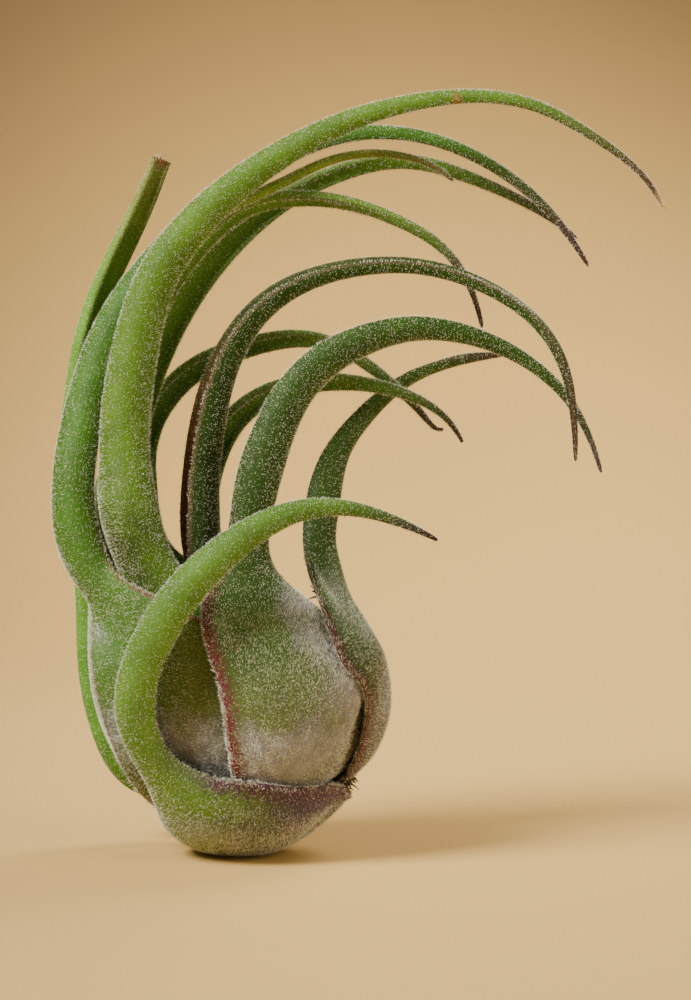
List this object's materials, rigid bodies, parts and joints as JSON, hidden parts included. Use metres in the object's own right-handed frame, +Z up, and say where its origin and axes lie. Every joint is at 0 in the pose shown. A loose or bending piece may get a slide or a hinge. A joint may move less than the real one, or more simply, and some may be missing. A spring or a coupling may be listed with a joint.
{
  "type": "air plant",
  "caption": "Air plant lying as picked: a bulb of overlapping inflated leaf bases on a short stem, with channelled leaves that all sweep to one side and taper to fine tips.",
  "frame": {"origin": "on the surface the plant rests on, straight below the centre of the bulb, inside the small flat spot under the lowest leaf base", "axes": "+Z up, the way the leaves rise; -Y is the front of the plant; +X is the side towards which all the leaf tips sweep"},
  "size_m": [0.118, 0.0585, 0.1485],
  "materials": {
    "stem": "dry fibrous bark, matt",
    "leaf_heart": "matt leaf with short pale hairs, yellow-green",
    "leaf_inner": "matt leaf with short pale hairs, brown towards the tip",
    "leaf_centre": "matt leaf with short pale hairs, dark green",
    "leaf_back_low": "matt leaf with short pale hairs, mid green",
    "leaf_back_curled": "matt leaf with short pale hairs, mid green",
    "leaf_long": "matt leaf with short pale hairs, light green",
    "leaf_left_back": "matt leaf with short pale hairs, light green with a silvery lilac base",
    "leaf_front_left": "matt leaf with short pale hairs, mid green with a silvery base and maroon margins",
    "leaf_front_right": "matt leaf with short pale hairs, silvery grey-green base with maroon margins",
    "leaf_right": "matt leaf with short pale hairs, grey-green base with papery maroon margins",
    "leaf_cut_tip": "matt leaf with short pale hairs, mid green, torn brown tip",
    "leaf_front_low": "matt leaf with short pale hairs, light green, grey-purple underneath"
  },
  "bodies": {
    "root": {"stem": "stem", "leaf_heart": "leaf_heart", "leaf_inner": "leaf_inner", "leaf_centre": "leaf_centre", "leaf_back_low": "leaf_back_low", "leaf_back_curled": "leaf_back_curled", "leaf_long": "leaf_long", "leaf_left_back": "leaf_left_back", "leaf_front_left": "leaf_front_left", "leaf_front_right": "leaf_front_right", "leaf_right": "leaf_right", "leaf_cut_tip": "leaf_cut_tip", "leaf_front_low": "leaf_front_low"}
  },
  "joints": []
}
